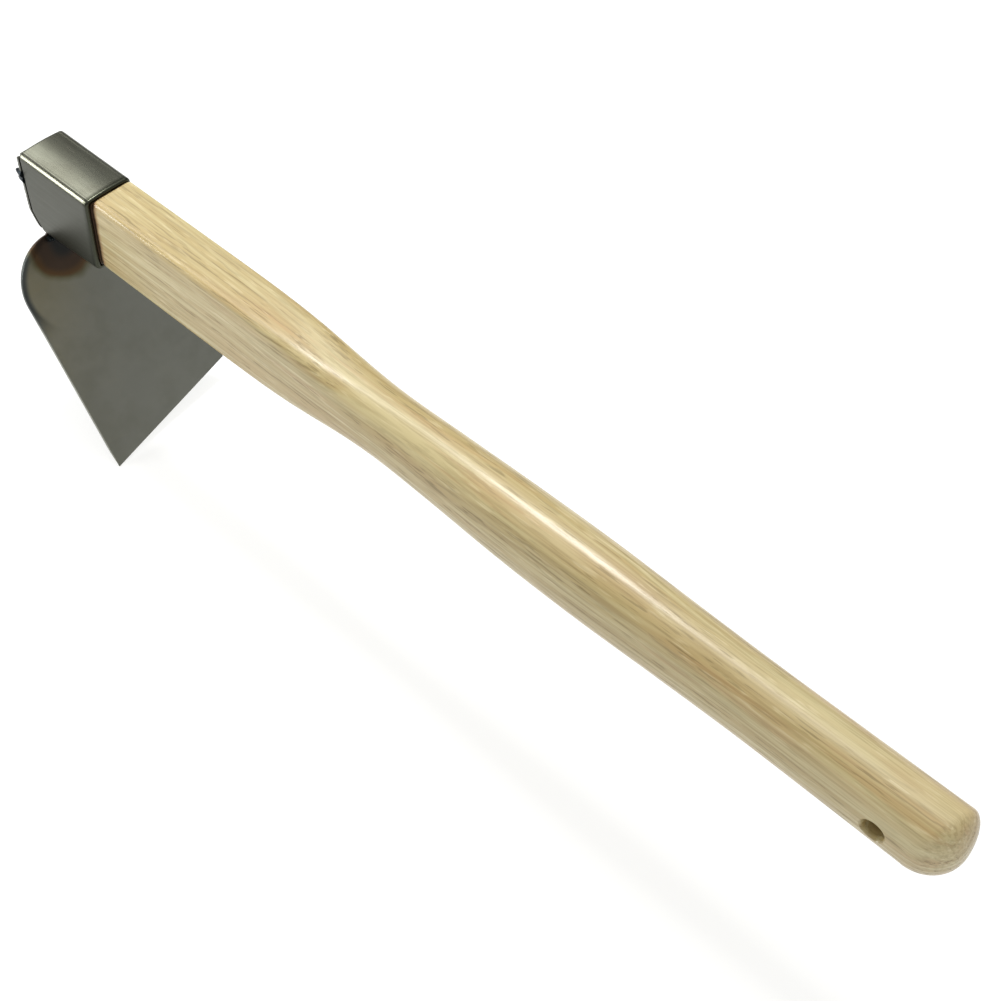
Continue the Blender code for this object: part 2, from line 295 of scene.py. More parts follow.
def loft(name: str, rings: Array, first: Cap, last: Cap, sharp: float = 40.0) -> bpy.types.Object:
    """Makes a closed surface on a grid: rings of equal length along a path, each ring closed on itself.

    A vertex is rings[i, j]; a quad joins (i, j), (i, j+1), (i+1, j+1) and (i+1, j), with j running on to 0. Each
    quad gives the cross product of its diagonals dotted with its middle less the mean of all points. If the sum of
    these, which is six times the volume, is negative, every face is turned round.

    Args:
        name: Name of the object.
        rings: Points as an array of rings, points and coordinates.
        first: End at the first ring.
        last: End at the last ring.
        sharp: Angle in degrees past which an edge stays sharp.

    Returns:
        The object, linked to the scene.
    """
    count, around = rings.shape[:2]
    points = rings.reshape(-1, 3)
    grid = np.arange(count * around).reshape(count, around)
    turned = np.roll(grid, -1, axis=1)
    quads = np.stack((grid[:-1], turned[:-1], turned[1:], grid[1:]), axis=-1).reshape(-1, 4)
    faces = quads.tolist()
    for cap, ring, flip in ((first, grid[0], True), (last, grid[-1], False)):
        order = ring[::-1] if flip else ring
        if cap is Cap.FACE:
            faces.append(order.tolist())
        else:
            pole = len(points)
            points = np.vstack((points, points[ring].mean(axis=0)))
            fan = np.stack((order, np.roll(order, -1), np.full(around, pole)), axis=-1)
            faces += fan.tolist()
    corners = points[quads]
    swept = np.cross(corners[:, 0] - corners[:, 2], corners[:, 1] - corners[:, 3])
    if np.einsum("ij,ij->", swept, corners.mean(axis=1) - points.mean(axis=0)) < 0:
        faces = [face[::-1] for face in faces]
    mesh = bpy.data.meshes.new(name)
    mesh.from_pydata(points.tolist(), [], faces)
    mesh.validate()
    smooth(mesh, sharp)
    made = bpy.data.objects.new(name, mesh)
    bpy.context.scene.collection.objects.link(made)
    return made


def smooth(mesh: bpy.types.Mesh, sharp: float) -> None:
    """Shades a mesh smooth except at edges past an angle in degrees."""
    mesh.shade_smooth()
    mesh.set_sharp_from_angle(angle=math.radians(sharp))


def carve(target: bpy.types.Object, cutters: list[bpy.types.Object], sharp: float) -> None:
    """Takes the cutters' shapes out of the target's mesh for good and removes the cutters.

    Args:
        target: Object to cut.
        cutters: Closed shapes to take out of it.
        sharp: Angle in degrees past which an edge stays sharp.
    """
    for cutter in cutters:
        modifier = target.modifiers.new(cutter.name, "BOOLEAN")
        modifier.operation = "DIFFERENCE"
        modifier.solver = "EXACT"
        modifier.object = cutter
    evaluated = target.evaluated_get(bpy.context.evaluated_depsgraph_get())
    cut = bpy.data.meshes.new_from_object(evaluated)
    target.modifiers.clear()
    target.data = cut
    smooth(cut, sharp)
    for cutter in cutters:
        bpy.data.objects.remove(cutter)


def hand_in(piece: bpy.types.Object, finish: bpy.types.Material, node: str) -> None:
    """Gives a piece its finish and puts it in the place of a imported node.

    Args:
        piece: The finished piece.
        finish: Its material.
        node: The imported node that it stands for.
    """
    piece.data.materials.clear()
    piece.data.materials.append(finish)
    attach(piece, BODY)
    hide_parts(node)
    log.info("%s stands for %s: %d faces, finish %s", piece.name, node, len(piece.data.polygons), finish.name)


def superellipse(turn: Array, width: Array, height: Array, squareness: Array) -> tuple[Array, Array]:
    """Points of a superellipse |y/a|^p + |z/b|^p = 1, with a and b its half width and half height.

    A point lies at the polar angle of a milder superellipse, which gathers points at the corners, and at the radius
    (|cos/a|^p + |sin/b|^p)^(-1/p) of the true one.

    Args:
        turn: Parameter round the ring, in radians, a row.
        width: Widths, a column.
        height: Heights, a column.
        squareness: Powers p, a column.

    Returns:
        The y and z arrays, a row to each section.
    """
    gather = 2 / np.minimum(squareness, 3.2)
    across = np.sign(np.cos(turn)) * np.abs(np.cos(turn)) ** gather * width
    up = np.sign(np.sin(turn)) * np.abs(np.sin(turn)) ** gather * height
    angle = np.arctan2(up, across)
    reach_y = np.abs(np.cos(angle) * 2 / width) ** squareness
    reach_z = np.abs(np.sin(angle) * 2 / height) ** squareness
    radius = (reach_y + reach_z) ** (-1 / squareness)
    return radius * np.cos(angle), radius * np.sin(angle)


def through(stations: Array, where: Array) -> Array:
    """Values between stations by cubic Hermite curves whose slope at a station is that of its two neighbours' chord.

    Args:
        stations: Rows of a distance and the values there.
        where: Distances to work out, ends held.

    Returns:
        A row of values to each distance.
    """
    places = stations[:, 0]
    values = stations[:, 1:]
    where = np.clip(where, places[0], places[-1])
    last = len(places) - 1
    k = np.clip(np.searchsorted(places, where, side="right") - 1, 0, last - 1)
    before = np.maximum(k - 1, 0)
    after = np.minimum(k + 2, last)
    step = (places[k + 1] - places[k])[:, None]
    t = ((where - places[k]) / step[:, 0])[:, None]
    slope_here = (values[k + 1] - values[before]) / (places[k + 1] - places[before])[:, None] * step
    slope_there = (values[after] - values[k]) / (places[after] - places[k])[:, None] * step
    return (
        (2 * t**3 - 3 * t**2 + 1) * values[k]
        + (t**3 - 2 * t**2 + t) * slope_here
        + (3 * t**2 - 2 * t**3) * values[k + 1]
        + (t**3 - t**2) * slope_there
    )


# ------------------------------------------------------------------ finishes


@dataclass(frozen=True)
class Pattern:
    """Noise that shows as a colour: 0 below low, all of its share above high."""

    stretch: Colour                     # grains to the metre along X, Y and Z
    roughness: float
    low: float
    high: float
    share: float

    def noise(self, graph: Graph) -> Wire:
        """The pattern's noise in a material's graph."""
        return graph.noise(self.stretch, 2.0, self.roughness)

    def step(self, noise: Wire) -> Wire:
        """The smooth step of its noise from low to high."""
        return noise.rise(self.low, self.high)


@dataclass(frozen=True)
class Wood:
    """Straight-grained ring-porous wood, cut along X, with or without lacquer."""

    name: str
    pale: Colour
    golden: Colour
    russet: Colour
    pore: Colour
    gloss: float                        # roughness of the surface, before the grain adds to it
    lacquer: float = 0.0                # how much of it a clear coat covers
    pith: tuple[float, float] = (-0.052, 0.066)     # y and z of the middle of the growth rings
    ring_rate: float = 210.0            # grains to the metre across the rings
    stain_and_shade_start: float = 0.0            # x where the brown stain and the painted shade of the gap by the steel are darkest
    stain_and_shade_reach: float = 0.0            # metres over which it fades
    stain_and_shade_side: float = 0.0             # y of the side where the stain and the painted shade are widest
    stain_and_shade_fade: float = 0.0025          # metres in y over which it narrows
    fleck: Colour = shade(226, 214, 176)

    DRIFT = (5.0, 14.0, 14.0)           # grains to the metre of the rings' slow drift
    DRIFT_REACH = 0.010                 # metres that it moves them
    PITH_LEAN = (0.012, 0.018)          # of the rings' middle along Y and Z, per metre of X
    RING_RUN = 3.0                      # grains to the metre along the rings
    RING_ROUGHNESS = 0.62
    GOLDEN_BAND = (0.34, 0.60)          # noise of the rings where pale turns to golden
    PORE_BAND = (0.44, 0.60)            # and where pores start and are all there
    LATE_PORES = 0.3                    # share of the pores outside that band
    PATCHES = Pattern((11.0, 60.0, 60.0), 0.5, 0.48, 0.72, 0.34)
    STREAKS = Pattern((9.0, 190.0, 190.0), 0.6, 0.54, 0.68, 0.36)
    FIBRES = Pattern((20.0, 900.0, 900.0), 0.6, 0.42, 0.66, 0.30)
    DASHES = Pattern((52.0, 980.0, 980.0), 0.6, 0.55, 0.63, 0.60)
    FLECKS = Pattern((60.0, 620.0, 620.0), 0.55, 0.58, 0.68, 0.24)
    # a brown stain, then near-black painted shade of the gap by the sleeve's mouth: where each starts and is full, in
    # reaches from the steel, its share and its colour
    STAIN_AND_SHADE_TINTS = (
        (1.6, 0.7, 0.55, shade(120, 72, 40)),
        (0.9, 0.3, 0.88, shade(46, 31, 24)),
    )
    STAIN_AND_SHADE_FAR = 0.25                    # reach on the far side against the near one
    FIBRE_ROUGH = 0.14                  # roughness that fibres and pores add
    PORE_ROUGH = 0.20
    FIBRE_RELIEF = 0.6                  # share of the bump that comes from fibres
    SPECULAR = 0.4
    LACQUER_ROUGHNESS = 0.24
    BUMP = (0.00008, 0.5)               # depth in metres and strength

    def material(self) -> bpy.types.Material:
        """Builds the wood: growth bands, patches, streaks, flecks, fibres, pore dashes, and by the steel a brown
        stain and painted shade of the gap.

        Returns:
            The material.
        """
        graph = Graph.of_material(self.name)
        drift = graph.noise(self.DRIFT, 1.0)
        x, y, z = graph.axes()
        lean_y, lean_z = self.PITH_LEAN
        rise = y - self.pith[0] + x * lean_y + (drift - 0.5) * self.DRIFT_REACH
        run = z - self.pith[1] - x * lean_z
        radius = (rise * rise + run * run) ** 0.5
        rings = graph.join(x * self.RING_RUN, radius * self.ring_rate, 0.0)
        band = graph.noise((1.0, 1.0, 1.0), 3.0, self.RING_ROUGHNESS, rings)
        patches = self.PATCHES.noise(graph)
        streaks = self.STREAKS.noise(graph)
        fibres = self.FIBRES.noise(graph)
        dashes = self.DASHES.noise(graph)
        flecks = self.FLECKS.noise(graph)
        early = band.rise(*self.PORE_BAND)
        pores = self.DASHES.step(dashes) * (early * (1 - self.LATE_PORES) + self.LATE_PORES)
        colour = graph.mix(band.rise(*self.GOLDEN_BAND), self.pale, self.golden)
        for pattern, noise, tint, blend in (
            (self.PATCHES, patches, self.russet, "MIX"),
            (self.STREAKS, streaks, self.russet, "MIX"),
            (self.FLECKS, flecks, self.fleck, "MIX"),
            (self.FIBRES, fibres, self.golden, "MULTIPLY"),
        ):
            colour = graph.mix(pattern.step(noise) * pattern.share, colour, tint, blend)
        colour = graph.mix(pores * self.DASHES.share, colour, self.pore)
        # painted shade: the near-black tint stands for the shade in the gap between the sleeve's mouth and the wood,
        # and the brown tint is a stain; both reach furthest on the near side
        if self.stain_and_shade_reach:
            near = y.rise(self.stain_and_shade_side + self.stain_and_shade_fade, self.stain_and_shade_side)
            reach = (near * (1 - self.STAIN_AND_SHADE_FAR) + self.STAIN_AND_SHADE_FAR) * self.stain_and_shade_reach
            stain_and_shade = (x - self.stain_and_shade_start + (streaks - 0.5) * self.stain_and_shade_reach) / reach
            for outer, inner, share, tint in self.STAIN_AND_SHADE_TINTS:
                colour = graph.mix(stain_and_shade.rise(outer, inner) * share, colour, tint)
        grain = fibres * self.FIBRE_RELIEF + (1 - pores) * (1 - self.FIBRE_RELIEF)
        rough = fibres * self.FIBRE_ROUGH + pores * self.PORE_ROUGH
        graph.set(
            Base_Color=colour,
            Roughness=rough + (self.gloss - self.FIBRE_ROUGH / 2),
            Specular_IOR_Level=self.SPECULAR,
            Coat_Weight=self.lacquer,
            Coat_Roughness=self.LACQUER_ROUGHNESS,
            Normal=graph.bump(grain, *self.BUMP),
        )
        return graph.owner


@dataclass(frozen=True)
class Steel:
    """Rolled steel, linished along one direction, with an optional heat tint spreading from a weld."""

    name: str
    colour: Colour
    mottle: Colour
    gloss: float
    brush: Colour                       # grains to the metre along X, Y and Z
    heat_middle: tuple[float, float, float] = (0.0, 0.0, 0.0)
    heat_reach: float = 0.0             # metres from the middle to the last tint
    lip: float = 0.0                    # x of the mouth, by which the steel is painted darker as shade and dark reflection
    shaded_flank: float = 0.0                  # y of the flanks, whose colour is painted darker as shade
    flank_shade_colour: Colour = shade(76, 77, 69)
    rim_middle: tuple[float, float, float] = (0.0, 0.0, 0.0)
    rim_radius: float = 0.0             # of a round shoulder whose rim has a painted dark reflection

    MOTTLE = (38.0, 38.0, 38.0)         # grains to the metre
    SCRATCH_ROUGH = 0.16                # roughness that scratches and mottling add
    MOTTLE_ROUGH = 0.10
    FLANK_SHADE_EDGE = (0.0006, 0.00015)      # metres in from the flanks where the painted shade starts and is full
    FLANK_ROUGH = 0.15
    RIM_EDGE = (0.0034, 0.0008)         # the same for the painted dark reflection on the shoulder's rim
    RIM_WANDER = 0.0008
    RIM_FADE = (0.016, 0.001)           # metres below the shoulder's middle where the rim starts and is full
    RIM_SIDE = 0.002                    # metres to each side of its middle where it ends
    RIM_REFLECTION_SHARE = 0.80
    RIM_REFLECTION_TINT = shade(56, 62, 64)
    LIP_SHADE_EDGE = (0.0034, 0.0014)         # metres in from the mouth where the painted shade starts and is full
    LIP_WANDER = 0.0004
    LIP_SHADE_SHARE = 0.85
    LIP_SHADE_TINT = shade(52, 54, 44)
    HEAT_GRAIN = (70.0, 70.0, 70.0)     # grains to the metre of the tint's uneven edge
    HEAT_WANDER = 0.26                  # its depth as a share of the reach
    HEAT_OXIDE = (0.9, 0.5)             # shares of the reach where the oxide roughens the steel
    HEAT_ROUGH = 0.08
    BUMP = (0.000012, 0.4)              # depth in metres and strength
    # shares of the heat's reach where each tint starts and is full, and its colour
    TINTS = (
        (1.08, 0.88, shade(112, 110, 90)),
        (0.96, 0.82, shade(100, 80, 60)),
        (0.86, 0.64, shade(80, 68, 60)),
        (0.50, 0.22, shade(62, 62, 62)),
    )

    def material(self) -> bpy.types.Material:
        """Builds the steel: mottling, scratches, flanks darkened as painted shade, a rim and lip darkened as painted
        dark reflection and shade, and oxide rings round the weld.

        Returns:
            The material.
        """
        graph = Graph.of_material(self.name)
        mottle = graph.noise(self.MOTTLE, 3.0, 0.6)
        scratches = graph.noise(self.brush, 2.0, 0.65)
        colour = graph.mix(mottle.rise(0.35, 0.70), self.colour, self.mottle)
        mean = (self.SCRATCH_ROUGH + self.MOTTLE_ROUGH) / 2
        rough = scratches * self.SCRATCH_ROUGH + mottle * self.MOTTLE_ROUGH + (self.gloss - mean)
        x, y, z = graph.axes()
        # painted shade: the flanks' colour is made darker, and the flanks rougher
        if self.shaded_flank:
            shaded_flank = graph.node("ShaderNodeMath", {"operation": "ABSOLUTE"}, {0: y})
            shaded_flank = shaded_flank.rise(*(self.shaded_flank - edge for edge in self.FLANK_SHADE_EDGE))
            colour = graph.mix(shaded_flank, colour, self.flank_shade_colour)
            rough = rough + shaded_flank * self.FLANK_ROUGH
        # painted reflection: a dark band on the near shoulder's rolled rim stands in for the dark reflection there
        if self.rim_radius:
            _, side, height = self.rim_middle
            from_middle = graph.distance(self.rim_middle) + (mottle - 0.5) * self.RIM_WANDER
            rim = from_middle.rise(*(self.rim_radius - edge for edge in self.RIM_EDGE))
            above = z.rise(*(height - fade for fade in self.RIM_FADE))
            outside = y.rise(side + self.RIM_SIDE, side - self.RIM_SIDE)
            colour = graph.mix(rim * above * outside * self.RIM_REFLECTION_SHARE, colour, self.RIM_REFLECTION_TINT)
        # painted shade and dark reflection by the mouth, standing for the dark gap and wood that the cut edge faces
        if self.lip:
            wavering = x + (mottle - 0.5) * self.LIP_WANDER
            end = wavering.rise(*(self.lip - edge for edge in self.LIP_SHADE_EDGE))
            colour = graph.mix(end * self.LIP_SHADE_SHARE, colour, self.LIP_SHADE_TINT)
        if self.heat_reach:
            wander = graph.noise(self.HEAT_GRAIN, 2.0)
            reach = graph.distance(self.heat_middle) / self.heat_reach + (wander - 0.5) * self.HEAT_WANDER
            for outer, inner, tint in self.TINTS:
                colour = graph.mix(reach.rise(outer, inner), colour, tint)
            rough = rough + reach.rise(*self.HEAT_OXIDE) * self.HEAT_ROUGH
        graph.set(
            Base_Color=colour,
            Metallic=1.0,
            Roughness=rough,
            Normal=graph.bump(scratches, *self.BUMP),
        )
        return graph.owner


@dataclass(frozen=True)
class Weld:
    """Bare weld metal under a blue-black oxide, with small bright spots."""

    name: str
    oxide: Colour
    bright: Colour
    ground: Colour                      # where the side beads were ground flush
    lump: tuple[float, float] = (-0.0180, -0.0100)      # z of the ends of the unground blob
    bottom: float = -0.0410             # z of the ground stretch's lower end

    BLOTCHES = (420.0, 420.0, 420.0)    # grains to the metre
    PITS = (1500.0, 1500.0, 1500.0)
    LUMP_FADES = (0.0012, 0.0010)       # metres over which the oxide fades at the blob's lower and upper end
    BOTTOM_FADE = 0.0025
    BUMP = (0.00012, 0.6)               # depth in metres and strength

    def material(self) -> bpy.types.Material:
        """Builds the weld metal: blotched oxide, pits, and clean metal where the side beads were ground.

        Returns:
            The material.
        """
        graph = Graph.of_material(self.name)
        blotch = graph.noise(self.BLOTCHES, 3.0, 0.6)
        pits = graph.noise(self.PITS, 2.0)
        _, _, z = graph.axes()
        low, high = self.lump
        low_fade, high_fade = self.LUMP_FADES
        ground = z.rise(low + low_fade, low) + z.rise(high - high_fade, high)
        ground = ground * z.rise(self.bottom, self.bottom + self.BOTTOM_FADE)
        colour = graph.mix(blotch.rise(0.55, 0.80), self.oxide, self.bright)
        graph.set(
            Base_Color=graph.mix(ground, colour, self.ground),
            Metallic=1.0,
            Roughness=0.30 + blotch * 0.25,
            Normal=graph.bump(pits, *self.BUMP),
        )
        return graph.owner


# ------------------------------------------------------------------ the tool's pieces


@dataclass(frozen=True)
class Site:
    """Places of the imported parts, in the row frame, that the fine pieces are built to."""

    sleeve: tuple[Vector, Vector]
    blade: tuple[Vector, Vector]
    handle: tuple[Vector, Vector]
    wedge: tuple[Vector, Vector]
    mouth_height: float = 0.0410        # of the sleeve, which is higher at its front
    bend_z: float = -0.0330             # of the blade's bend
    front_lean: float = math.radians(2.8)       # of the sleeve's front above the bend, towards the butt
    blade_lean: float = math.radians(34.4)      # of the blade and the sleeve's front below the bend

    @classmethod
    def read(cls) -> "Site":
        """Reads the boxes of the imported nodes."""
        return cls(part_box("socket_sleeve"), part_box("blade"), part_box("handle"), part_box("wedge"))

    @property
    def mouth(self) -> float:
        """X of the sleeve's mouth."""
        return self.sleeve[1].x

    @property
    def half(self) -> float:
        """Half the sleeve's width."""
        return self.sleeve[1].y

    @property
    def swell(self) -> float:
        """How much higher the sleeve is at its front than at its mouth, as a share."""
        return -self.sleeve[0].z / self.mouth_height - 1

    @property
    def axis(self) -> float:
        """Z of the handle's axis."""
        return -self.mouth_height / 2

    def front(self, z: Array | float) -> Array | float:
        """X of the sleeve's front at a height: nearly upright above the bend, slanted like the blade below it."""
        below = np.maximum(self.bend_z - z, 0)
        return self.sleeve[0].x - (z + below) * math.tan(self.front_lean) + below * math.tan(self.blade_lean)


@dataclass
class Sleeve:
    """The folded ring of sheet that takes the handle's tenon."""

    site: Site
    sheet: float = 0.0020
    corner: float = 0.0030              # outer radius of the four folds
    slit: float = 0.0008                # between the folded ends, under the sleeve
    lip: float = 0.0012                 # rounding of the cut edges outside
    inner_lip: float = 0.0004           # and inside
    top_bow: float = 0.00042            # how much lower the top lies beside its folds
    side_bow: float = 0.00012           # and how far the sides lie in beside them
    fold_steps: int = 16
    side_steps: int = 26
    length_steps: int = 30

    def section(self) -> tuple[Array, Array]:
        """The outer line of the section from one side of the slit round to the other.

        Straight runs and quarter circles follow each other: a run's points are corner + share * length, an arc's are
        middle + radius * (cos, sin). Faces are bowed: their points lie in by bow * (share of half width)^2, and an
        arc's lie in by an even blend from one neighbour's bow to the other's.

        Returns:
            Points (y, z) and the unit normals that point out of the sleeve.
        """
        half = self.site.half
        rise = self.site.mouth_height / 2
        flat_y = half - self.corner
        flat_z = rise - self.corner
        start = self.slit / 2
        middles = ((flat_y, -flat_z), (flat_y, flat_z), (-flat_y, flat_z), (-flat_y, -flat_z))
        runs = (
            ((start, -rise), (flat_y, -rise)),
            ((half, -flat_z), (half, flat_z)),
            ((flat_y, rise), (-flat_y, rise)),
            ((-half, flat_z), (-half, -flat_z)),
            ((-flat_y, -rise), (-start, -rise)),
        )
        bows = (0.0, self.side_bow, self.top_bow, self.side_bow, 0.0)
        points = []
        normals = []
        for k, (run, bow) in enumerate(zip(runs, bows)):
            begin, end = np.array(run)
            share = np.linspace(0, 1, self.side_steps)[:, None]
            along = (end - begin) / np.linalg.norm(end - begin)
            out = np.array((along[1], -along[0]))
            line = begin + (end - begin) * share
            reach = flat_y if abs(along[0]) > abs(along[1]) else flat_z
            from_middle = np.abs(line @ along) / reach
            points.append(line - out * (bow * from_middle**2)[:, None])
            normals.append(np.repeat(out[None], self.side_steps, axis=0))
            if k < len(middles):
                share = np.linspace(0, 1, self.fold_steps)[1:-1]
                angle = math.radians(90 * (k - 1)) + share * math.pi / 2
                out = np.stack((np.cos(angle), np.sin(angle)), axis=-1)
                inset = bow + (bows[k + 1] - bow) * share
                points.append(np.array(middles[k]) + (self.corner - inset)[:, None] * out)
                normals.append(out)
        return np.concatenate(points) + (0, self.site.axis), np.concatenate(normals)

    def rings(self) -> Array:
        """The sheet as a loop round its thickness at each point of the section.

        The loop runs along the outer face, round the lip at the mouth, back along the inner face and round the lip at
        the front. A corner is a quarter circle of the outer or the inner lip's radius; everywhere a point is the
        section's point less its normal times the depth in the sheet. Its height is then multiplied by 1 + swell *
        (1 - share of the length from the front), so that the sleeve grows evenly towards its front.

        Returns:
            Rings of points, one to each point of the section.
        """
        points, normals = self.section()
        quarter = np.linspace(0, math.pi / 2, 9)
        share = np.linspace(0, 1, self.length_steps)[1:-1]
        flat = np.zeros_like(share)
        # for the loop's points: shares of the length, metres in from the cut ends, depths in the sheet
        outer_in = self.lip * (1 - np.sin(quarter))
        outer_deep = self.lip * (1 - np.cos(quarter))
        inner_in = self.inner_lip * (1 - np.sin(quarter))
        inner_deep = self.sheet - self.inner_lip * (1 - np.cos(quarter))
        zero = np.zeros_like(quarter)
        ends = np.concatenate((zero, share, zero + 1, zero + 1, share[::-1], zero))
        back = np.concatenate((outer_in[::-1], flat, -outer_in, -inner_in[::-1], flat, inner_in))
        depth = np.concatenate((
            outer_deep[::-1], flat, outer_deep, inner_deep[::-1], flat + self.sheet, inner_deep,
        ))
        lines = points[:, None, :] - normals[:, None, :] * depth[None, :, None]
        front = self.site.front(lines[..., 1] * (1 + self.site.swell))
        x = front + (self.site.mouth - front) * ends + back
        z = lines[..., 1] * (1 + self.site.swell * (1 - ends))
        return np.stack((x, lines[..., 0], z), axis=-1)

    def build(self, finish: bpy.types.Material) -> None:
        """Makes the sleeve and puts it in place."""
        hand_in(loft("folded_sleeve", self.rings(), Cap.FACE, Cap.FACE), finish, "socket_sleeve")


@dataclass
class Blade:
    """The bent plate: a tongue up the sleeve's front, a bend, and a broad blade ground at its lower edge."""

    site: Site
    sheet: float = 0.0020
    far_depth: float = 0.1093           # from the bend to the far lower corner
    shoulder: float = 0.0248            # radius
    under: float = 0.0003               # the shoulders start this far under the sleeve
    standoff: float = 0.0004            # of the tongue from the sleeve's front
    tongue: float = 0.0208              # width
    bend_reach: float = 0.0040          # of the bend's curve along the plate, to each side
    bevel: float = 0.0080               # length of the ground strip
    edge: float = 0.0003                # thickness left at the ground edge
    rim: float = 0.0004                 # rounding of the cut outline
    roll: float = 0.00045               # how far the shoulders' rims turn back
    roll_width: float = 0.0034
    roll_fade: float = 0.045            # metres down the straight sides over which they stop turning back
    crowding: float = 0.13              # how much closer points lie near the rims
    across: int = 72
    down: int = 110

    @property
    def bend(self) -> Array:
        """X and z of the bend on the back face."""
        z = self.site.bend_z
        return np.array((self.site.front(z) - self.standoff, z))

    @property
    def drop(self) -> float:
        """From the bend to the shoulders' start."""
        return (self.site.bend_z - self.site.sleeve[0].z + self.under) / math.cos(self.site.blade_lean)

    @property
    def near_depth(self) -> float:
        """From the bend to the near lower corner, which is the tool's lowest point."""
        return (self.bend[1] - self.site.blade[0].z) / math.cos(self.site.blade_lean)

    @property
    def tongue_top(self) -> float:
        """From the bend up to the tongue's top end."""
        return (self.site.blade[1].z - self.bend[1]) / math.cos(self.site.front_lean)

    def path(self, depth: Array) -> tuple[Array, Array]:
        """The back face's line in the x, z plane: straight, a quadratic curve round the bend, straight.

        Args:
            depth: Distances below the bend, negative up the tongue.

        Returns:
            Points (x, z) and the normals that point to the back.
        """
        steep, lean = self.site.front_lean, self.site.blade_lean
        half = self.bend_reach
        share = np.clip((depth + half) / (2 * half), 0, 1)[..., None]
        angle = steep + (lean - steep) * share
        normals = np.concatenate((np.cos(angle), np.sin(angle)), axis=-1)
        down_tongue = np.array((math.sin(steep), -math.cos(steep)))
        down_blade = np.array((math.sin(lean), -math.cos(lean)))
        high = self.bend + down_tongue * np.minimum(depth, -half)[..., None]
        low = self.bend + down_blade * np.maximum(depth, half)[..., None]
        points = (1 - share) ** 2 * high + 2 * share * (1 - share) * self.bend + share**2 * low
        return points, normals

    def on_back(self, side: float, depth: float) -> tuple[float, float, float]:
        """The place on the back face at a distance across and a depth below the bend."""
        (x, z), _ = self.path(np.array(depth))
        return float(x), side, float(z)

    def outline(self) -> tuple[Array, Array, Array, Array]:
        """Left and right outline points (y, depth) in pairs from the tongue's top to the edge, with outward normals.

        The shoulders are quarter circles, middle + radius * (sin, -cos), and the sides are straight.

        Returns:
            Left points, left normals, right points, right normals.
        """
        near = -self.site.blade[0].y
        far = self.site.blade[1].y
        half = self.tongue / 2
        depths = np.concatenate((
            np.linspace(-self.tongue_top, -self.bend_reach, 20),
            np.linspace(-self.bend_reach, self.drop, 18)[1:-1],
        ))
        angle = np.linspace(0, math.pi / 2, 30)
        share = np.concatenate((
            np.linspace(0, 1, self.down)[1:] * (1 - self.bevel / (self.near_depth - self.shoulder)),
            1 - np.linspace(self.bevel / (self.near_depth - self.shoulder), 0, 10)[1:],
        ))
        start = self.drop + self.shoulder
        sides = []
        for sign, reach, bottom in ((-1, near, self.near_depth), (1, far, self.far_depth)):
            tongue = np.stack((np.full(len(depths), sign * half), depths), axis=-1)
            turn = np.stack((
                sign * (reach + self.shoulder * (np.sin(angle) - 1)),
                self.drop + self.shoulder * (1 - np.cos(angle)),
            ), axis=-1)
            side = np.stack((np.full(len(share), sign * reach), start + (bottom - start) * share), axis=-1)
            flat_out = np.array((sign, 0.0))
            sides.append(np.concatenate((tongue, turn, side)))
            sides.append(np.concatenate((
                np.repeat(flat_out[None], len(depths), axis=0),
                np.stack((sign * np.sin(angle), -np.cos(angle)), axis=-1),
                np.repeat(flat_out[None], len(share), axis=0),
            )))
        return tuple(sides)

    def rolled(self, side: Array, depth: Array) -> Array:
        """How far a point lies towards the front because the shoulders' rims turn back.

        With d the distance to the outline, it is roll * (1 - d / roll_width)^2, fading down the straight sides.

        Args:
            side: Distances across, near side negative.
            depth: Distances below the bend.

        Returns:
            Metres towards the front.
        """
        reach = np.where(side < 0, -self.site.blade[0].y, self.site.blade[1].y)
        middle = reach - self.shoulder
        below = depth - self.drop - self.shoulder
        radial = self.shoulder - np.hypot(np.maximum(np.abs(side) - middle, 0), np.minimum(below, 0))
        to_rim = np.where(below < 0, radial, reach - np.abs(side))
        fade = np.clip(1 - below / self.roll_fade, 0, 1) * (depth > self.drop)
        return self.roll * np.clip(1 - to_rim / self.roll_width, 0, 1) ** 2 * fade

    def rings(self) -> Array:
        """A loop round the plate at each pair of outline points.

        The loop crosses the back face, rounds the right rim, crosses the front face and rounds the left rim. Points
        near the rims are closer together. The thickness is the sheet's, and falls evenly to the edge in the bevel,
        which is ground on the front face.

        Returns:
            Rings of points.
        """
        left, left_out, right, right_out = self.outline()
        quarter = np.linspace(0, math.pi / 2, 5)
        share = np.linspace(0, 1, self.across)
        share = share - self.crowding * np.sin(2 * math.pi * share)
        start = self.drop + self.shoulder
        ground = 1 - self.bevel / (self.near_depth - start)
        run = (left[:, 1] - start) / (self.near_depth - start)
        thick = self.sheet + (self.edge - self.sheet) * np.clip((run - ground) / (1 - ground), 0, 1)
        rim = np.minimum(self.rim, thick * 0.45)[:, None]
        left_in = left - left_out * rim
        right_in = right - right_out * rim
        back = left_in[:, None] + (right_in - left_in)[:, None] * share[None, :, None]
        reach = (rim * np.sin(quarter))[..., None]
        sunk = rim * (1 - np.cos(quarter))
        full = thick[:, None]
        right_rim = right_in[:, None] + right_out[:, None] * reach
        left_rim = left_in[:, None] + left_out[:, None] * reach
        flat = np.zeros_like(back[..., 0])
        plan = np.concatenate((
            back,
            right_rim[:, 1:],
            right_rim[:, ::-1],
            back[:, ::-1][:, 1:],
            left_rim[:, 1:],
            left_rim[:, ::-1][:, :-1],
        ), axis=1)
        depth_in = np.concatenate((
            flat,
            sunk[:, 1:],
            full - sunk[:, ::-1],
            (flat + full)[:, 1:],
            full - sunk[:, 1:],
            sunk[:, ::-1][:, :-1],
        ), axis=1)
        line, normal = self.path(plan[..., 1])
        place = line - normal * (depth_in + self.rolled(plan[..., 0], plan[..., 1]))[..., None]
